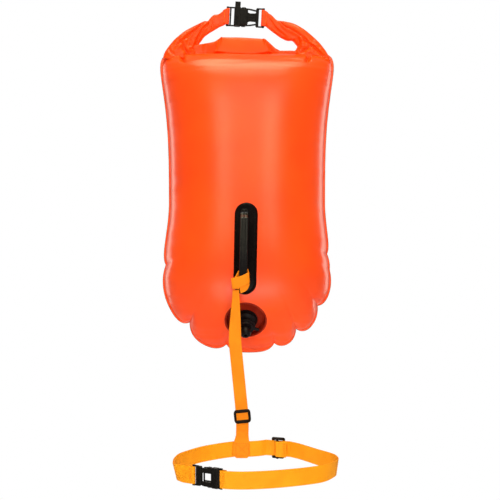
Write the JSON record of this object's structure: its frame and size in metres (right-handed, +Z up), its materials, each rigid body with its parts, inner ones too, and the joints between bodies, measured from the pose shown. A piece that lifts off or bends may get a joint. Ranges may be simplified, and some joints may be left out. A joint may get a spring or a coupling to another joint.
{
  "type": "open water swim buoy",
  "caption": "Inflatable roll-top swim buoy with a whistle buckle, tow patch, oral valves, webbing leash and waist belt.",
  "frame": {"origin": "underside of the closed whistle buckle at the middle of the carry loop, where a hook holds the buoy", "axes": "+Z up along the hanging bag, -Y towards the front with the tow patch and the belt, +X to the right as seen from the front"},
  "size_m": [0.2951, 0.3366, 0.7553],
  "materials": {
    "orange_fabric": "coated, satin gloss",
    "inner_film": "coated film",
    "well_film": "moulded, glossy",
    "patch_rubber": "glossy",
    "valve_rubber": "satin gloss",
    "black_plastic": "moulded, satin",
    "yellow_webbing": "woven webbing"
  },
  "bodies": {
    "buoy": {"front_outer_panel": "orange_fabric", "front_liner": "inner_film", "rear_liner": "inner_film", "rear_outer_panel": "orange_fabric", "roll_top_middle": "orange_fabric", "closure_stiffener": "black_plastic", "left_roll_arm": "orange_fabric", "right_roll_arm": "orange_fabric", "left_buckle_tab": "orange_fabric", "whistle_socket": "black_plastic", "whistle": "black_plastic", "leash_patch": "patch_rubber", "patch_strap": "patch_rubber", "leash_hitch": "yellow_webbing", "front_valve_well": "well_film", "front_valve_base": "valve_rubber", "front_valve_flap": "valve_rubber", "rear_valve_well": "well_film", "rear_valve_base": "valve_rubber", "rear_valve_flap": "valve_rubber"},
    "whistle_buckle_plug": {"whistle_plug": "black_plastic", "right_buckle_tab": "orange_fabric"},
    "whistle_upper_prong": {"whistle_prong_upper": "black_plastic"},
    "whistle_lower_prong": {"whistle_prong_lower": "black_plastic"},
    "front_lock_ring": {"front_valve_lock_ring": "valve_rubber"},
    "front_mouthpiece": {"front_valve_mouthpiece": "valve_rubber"},
    "rear_lock_ring": {"rear_valve_lock_ring": "valve_rubber"},
    "rear_mouthpiece": {"rear_valve_mouthpiece": "valve_rubber"},
    "leash": {"leash_web": "yellow_webbing", "belt_web_short": "yellow_webbing", "belt_web_long": "yellow_webbing", "belt_socket": "black_plastic"},
    "leash_adjuster": {"leash_slider": "black_plastic"},
    "belt_adjuster": {"belt_slider": "black_plastic", "belt_slider_fold": "yellow_webbing"},
    "belt_buckle_plug": {"belt_plug": "black_plastic"},
    "belt_upper_prong": {"belt_prong_upper": "black_plastic"},
    "belt_lower_prong": {"belt_prong_lower": "black_plastic"}
  },
  "joints": [
    {"name": "whistle_buckle_release", "type": "slide", "parent": "buoy", "child": "whistle_buckle_plug", "axis": [0.9986, 0, -0.0523], "range_m": [0, 0.018], "deforming": ["right_roll_arm"]},
    {"name": "whistle_prong_press_upper", "type": "hinge", "parent": "whistle_buckle_plug", "child": "whistle_upper_prong", "pos_m": [0.01459, 0, 0.0273], "axis": [0, -1, 0], "range_deg": [0, 7], "stiffness_Nm_per_rad": 0.1},
    {"name": "whistle_prong_press_lower", "type": "hinge", "parent": "whistle_buckle_plug", "child": "whistle_lower_prong", "pos_m": [0.01336, 0, 0.00394], "axis": [0, 1, 0], "range_deg": [0, 7], "stiffness_Nm_per_rad": 0.1},
    {"name": "front_valve_lock_turn", "type": "hinge", "parent": "buoy", "child": "front_lock_ring", "pos_m": [-0.00199, -0.04296, -0.49863], "axis": [-0.0014, -0.6942, -0.7198], "range_deg": [0, 180]},
    {"name": "front_mouthpiece_press", "type": "slide", "parent": "buoy", "child": "front_mouthpiece", "axis": [0.0014, 0.6942, 0.7198], "range_m": [0, 0.003], "stiffness_N_per_m": 300},
    {"name": "rear_valve_lock_turn", "type": "hinge", "parent": "buoy", "child": "rear_lock_ring", "pos_m": [-0.00199, 0.04296, -0.49863], "axis": [-0.0014, 0.6942, -0.7198], "range_deg": [0, 180]},
    {"name": "rear_mouthpiece_press", "type": "slide", "parent": "buoy", "child": "rear_mouthpiece", "axis": [0.0014, -0.6942, 0.7198], "range_m": [0, 0.003], "stiffness_N_per_m": 300},
    {"name": "leash_swing", "type": "hinge", "parent": "buoy", "child": "leash", "pos_m": [-0.0188, -0.09, -0.4438], "axis": [-1, 0, 0], "range_deg": [0, 90]},
    {"name": "leash_slider_move", "type": "slide", "parent": "leash", "child": "leash_adjuster", "axis": [-0.0995, 0, 0.995], "range_m": [0, 0.1]},
    {"name": "belt_slider_move", "type": "slide", "parent": "leash", "child": "belt_adjuster", "axis": [0.9563, -0.2924, 0], "range_m": [-0.008, 0.005]},
    {"name": "belt_buckle_release", "type": "slide", "parent": "leash", "child": "belt_buckle_plug", "axis": [-0.891, 0.454, 0], "range_m": [0, 0.018], "deforming": ["belt_web_short"]},
    {"name": "belt_prong_press_upper", "type": "hinge", "parent": "belt_buckle_plug", "child": "belt_upper_prong", "pos_m": [-0.0619, -0.23523, -0.6873], "axis": [0.454, 0.891, 0], "range_deg": [0, 7], "stiffness_Nm_per_rad": 0.1},
    {"name": "belt_prong_press_lower", "type": "hinge", "parent": "belt_buckle_plug", "child": "belt_lower_prong", "pos_m": [-0.0619, -0.23523, -0.7067], "axis": [-0.454, -0.891, 0], "range_deg": [0, 7], "stiffness_Nm_per_rad": 0.1}
  ],
  "couplings": [
    {"joint": "whistle_prong_press_lower", "follows": "whistle_prong_press_upper", "ratio": 1},
    {"joint": "belt_prong_press_lower", "follows": "belt_prong_press_upper", "ratio": 1}
  ]
}
